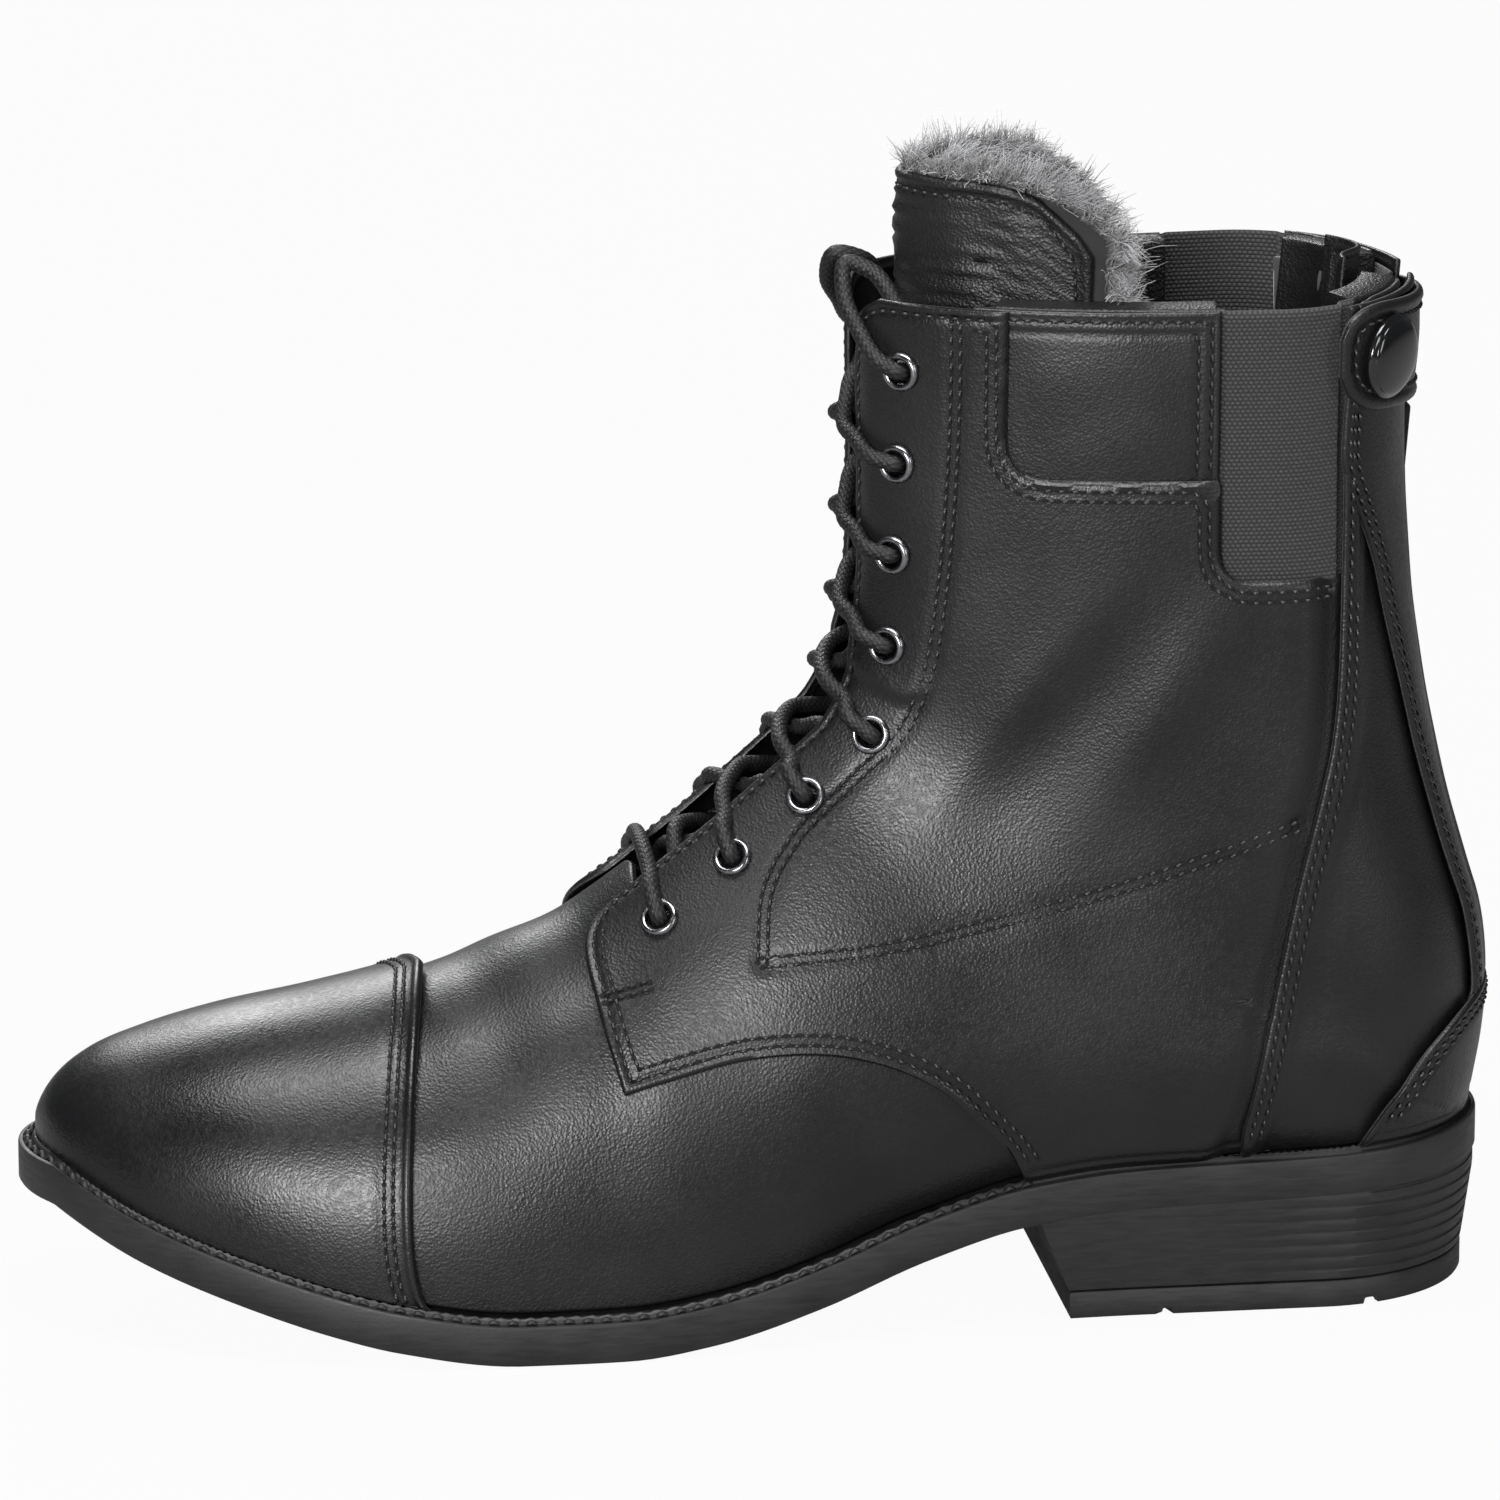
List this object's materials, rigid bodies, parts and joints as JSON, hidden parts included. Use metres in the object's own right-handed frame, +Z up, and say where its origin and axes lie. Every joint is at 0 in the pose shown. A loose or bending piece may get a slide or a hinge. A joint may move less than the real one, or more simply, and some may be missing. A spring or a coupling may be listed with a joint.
{
  "type": "lace-up riding ankle boot",
  "caption": "Black leather lace-up riding ankle boot, fleece lined, with cap toe, welted rubber sole and heel, elastic side gussets, snap tab and back zip.",
  "frame": {"origin": "centre of the heel top piece's flat underside, where the heel stands on the floor", "axes": "+Z up from the floor, toe towards -X and heel towards +X, lateral (pictured) side towards -Y, medial side towards +Y"},
  "size_m": [0.2867, 0.0949, 0.221],
  "materials": {
    "leather": "smooth black full-grain leather, semi-matt",
    "fleece": "grey-black pile with light tips",
    "elastic": "black ribbed elastic webbing",
    "rubber": "matt black moulded rubber",
    "board": "brown pressed fibre board",
    "stiffener": "thermoplastic stiffener sheet",
    "foam": "dark foam-backed cloth",
    "steel": "plain spring steel",
    "gunmetal": "gunmetal lacquer",
    "lace": "black round braided cord",
    "tape": "black woven zip tape and moulded teeth",
    "cap": "gloss black enamel",
    "tip": "black plastic tip"
  },
  "bodies": {
    "boot": {"outsole": "rubber", "heel_top_piece": "rubber", "welt": "rubber", "insole_board": "board", "shank": "steel", "insock": "fleece", "toe_cap": "leather", "toe_puff": "stiffener", "vamp": "leather", "vamp_lining": "fleece", "quarter_lateral": "leather", "quarter_medial": "leather", "collar_panel_lateral": "leather", "collar_panel_medial": "leather", "gusset_lateral": "elastic", "gusset_medial": "elastic", "interlining_lateral": "foam", "interlining_medial": "foam", "back_panel_lateral": "leather", "back_panel_medial": "leather", "zip_placket_lateral": "leather", "zip_placket_medial": "leather", "zip_tape_lateral": "tape", "zip_tape_medial": "tape", "quarter_lining_lateral": "fleece", "quarter_lining_medial": "fleece", "heel_patch": "leather", "heel_counter": "stiffener", "tongue": "leather", "tongue_fleece": "fleece", "eyelet_lateral_1": "gunmetal", "eyelet_lateral_2": "gunmetal", "eyelet_lateral_3": "gunmetal", "eyelet_lateral_4": "gunmetal", "eyelet_lateral_5": "gunmetal", "eyelet_lateral_6": "gunmetal", "eyelet_lateral_7": "gunmetal", "eyelet_lateral_8": "gunmetal", "eyelet_medial_1": "gunmetal", "eyelet_medial_2": "gunmetal", "eyelet_medial_3": "gunmetal", "eyelet_medial_4": "gunmetal", "eyelet_medial_5": "gunmetal", "eyelet_medial_6": "gunmetal", "eyelet_medial_7": "gunmetal", "eyelet_medial_8": "gunmetal", "lace": "lace", "lace_tip_a": "tip", "lace_tip_b": "tip", "zip_teeth_lateral": "tape", "zip_teeth_medial": "tape", "zip_stop": "gunmetal", "zip_guard": "leather", "snap_stud": "gunmetal"},
    "zip_carriage": {"zip_slider": "gunmetal", "zip_slider_back": "gunmetal"},
    "zip_tag": {"zip_pull": "gunmetal"},
    "tab_flap": {"snap_tab": "leather", "snap_cap": "cap"}
  },
  "joints": [
    {"name": "tab_swing", "type": "hinge", "parent": "boot", "child": "tab_flap", "pos_m": [0.01263, 0.02924, 0.18234], "axis": [0, 0, 1], "range_deg": [0, 110]},
    {"name": "zip_run", "type": "hinge", "parent": "boot", "child": "zip_carriage", "pos_m": [0.3202, 0, 0.172], "axis": [0, -1, 0], "range_deg": [0, 16]},
    {"name": "zip_pull_swing", "type": "hinge", "parent": "zip_carriage", "child": "zip_tag", "pos_m": [0.02313, 0, 0.17184], "axis": [0, -1, 0], "range_deg": [0, 85]}
  ]
}
